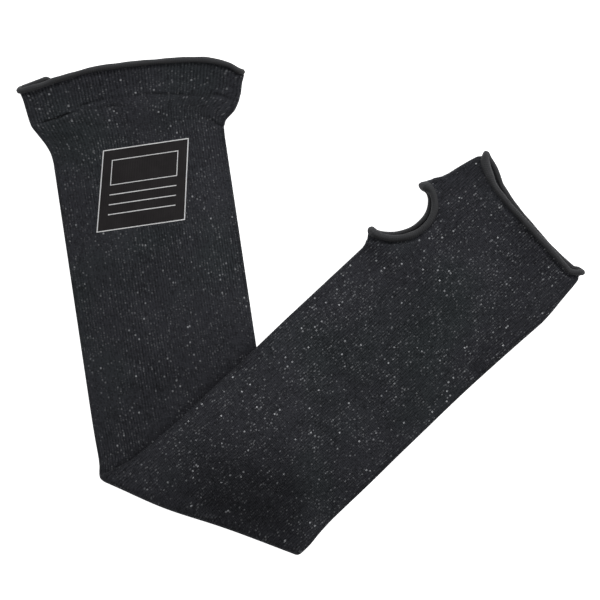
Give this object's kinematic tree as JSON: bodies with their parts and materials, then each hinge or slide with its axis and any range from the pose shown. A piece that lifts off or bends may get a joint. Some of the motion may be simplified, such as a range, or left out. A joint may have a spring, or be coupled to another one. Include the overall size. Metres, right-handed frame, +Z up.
{
  "type": "cut resistant sleeve",
  "caption": "Knitted protective sleeve lying flat and folded once, with a ribbed flared cuff at the arm end, a thumb hole and a bound hand end.",
  "frame": {"origin": "middle of the outline, on the surface the sleeve lies on", "axes": "+Z up, away from the surface; +Y from the fold towards the arm end; +X towards the hand end"},
  "size_m": [0.3508, 0.3104, 0.0168],
  "materials": {
    "knit_fabric": "matt charcoal knit with pale flecks",
    "rib_fabric": "matt charcoal rib knit with pale flecks",
    "binding_yarn": "smooth dark grey overlocked yarn",
    "label_print": "matt transfer print"
  },
  "bodies": {
    "root": {"sleeve_tube": "knit_fabric", "arm_cuff": "rib_fabric", "arm_binding": "binding_yarn", "thumb_binding": "binding_yarn", "hand_binding": "binding_yarn", "label": "label_print"}
  },
  "joints": []
}
